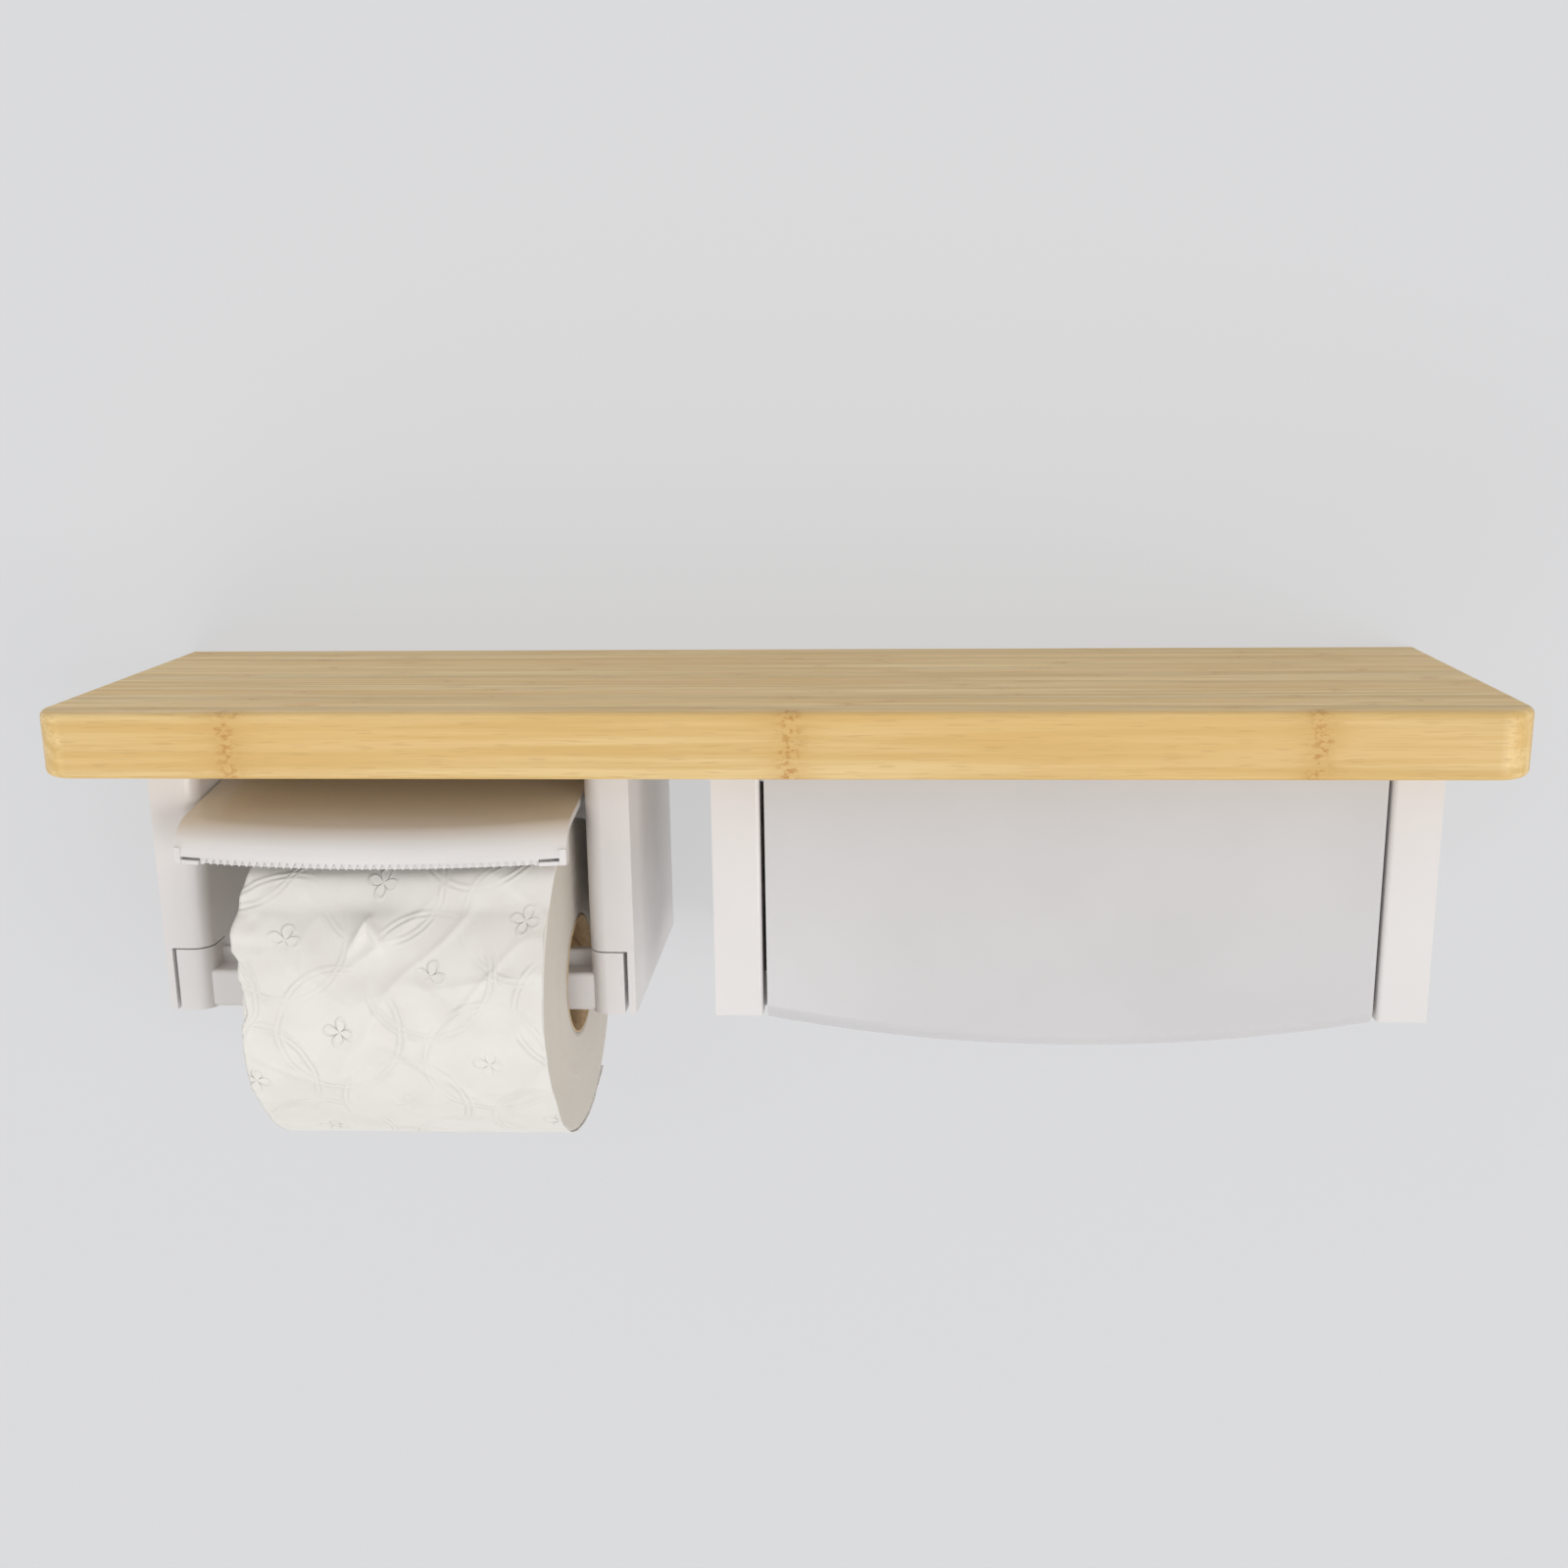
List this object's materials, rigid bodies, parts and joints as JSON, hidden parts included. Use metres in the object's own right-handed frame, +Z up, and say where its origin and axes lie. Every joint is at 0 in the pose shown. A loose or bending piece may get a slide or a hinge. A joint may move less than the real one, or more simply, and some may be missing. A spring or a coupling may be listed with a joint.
{
  "type": "toilet roll holder with shelf",
  "caption": "Wall-hung bamboo shelf with a covered toilet roll holder and a flap-fronted storage box beneath it.",
  "frame": {"origin": "on the wall plane, at the middle of the row of wall screw holes", "axes": "+X to the right seen from the room, +Y into the wall, +Z up"},
  "size_m": [0.48, 0.142, 0.1595],
  "materials": {
    "bamboo": "satin lacquered bamboo",
    "housing_white": "semi-gloss white ABS",
    "cover_white": "gloss white ABS",
    "flap_white": "gloss white ABS",
    "peg_white": "semi-gloss white acetal",
    "blade_white": "white moulded strip",
    "bracket_steel": "zinc plated sheet",
    "screw_steel": "zinc plated",
    "pin_steel": "ground steel",
    "spring_steel": "spring wire",
    "buffer_rubber": "soft pale rubber",
    "tissue": "embossed tissue paper",
    "cardboard": "spiral wound brown board"
  },
  "bodies": {
    "frame": {"shelf_board": "bamboo", "shelf_screws": "screw_steel", "holder_bracket": "bracket_steel", "storage_bracket": "bracket_steel", "left_arm": "housing_white", "right_arm": "housing_white", "left_cheek": "housing_white", "right_cheek": "housing_white", "arm_screws": "screw_steel", "cheek_screws": "screw_steel", "tray_screws": "screw_steel", "storage_tray": "housing_white", "flap_buffers": "buffer_rubber", "cover_pins": "pin_steel", "peg_pins": "pin_steel", "left_peg_spring": "spring_steel", "right_peg_spring": "spring_steel", "flap_pins": "pin_steel"},
    "cover": {"roll_cover": "cover_white", "tear_blade": "blade_white"},
    "flap": {"storage_flap": "flap_white"},
    "roll": {"paper_roll": "tissue", "cardboard_core": "cardboard"},
    "left_tongue": {"left_peg": "peg_white"},
    "right_tongue": {"right_peg": "peg_white"}
  },
  "joints": [
    {"name": "cover_lift", "type": "hinge", "parent": "frame", "child": "cover", "pos_m": [-0.132, -0.03, 0.016], "axis": [-1, 0, 0], "range_deg": [0, 10]},
    {"name": "flap_open", "type": "hinge", "parent": "frame", "child": "flap", "pos_m": [0.10035, -0.0945, 0.019], "axis": [-1, 0, 0], "range_deg": [0, 85]},
    {"name": "roll_spin", "type": "hinge", "parent": "frame", "child": "roll", "pos_m": [-0.1205, -0.086, -0.0555], "axis": [1, 0, 0], "continuous": true},
    {"name": "left_peg_fold", "type": "hinge", "parent": "frame", "child": "left_tongue", "pos_m": [-0.206, -0.092, -0.055], "axis": [0, 0, 1], "range_deg": [0, 9], "stiffness_Nm_per_rad": 0.05, "springref_deg": -28.65, "deforming": ["left_peg_spring"]},
    {"name": "right_peg_fold", "type": "hinge", "parent": "frame", "child": "right_tongue", "pos_m": [-0.058, -0.092, -0.055], "axis": [0, 0, -1], "range_deg": [0, 9], "stiffness_Nm_per_rad": 0.05, "springref_deg": -28.65, "deforming": ["right_peg_spring"]}
  ]
}
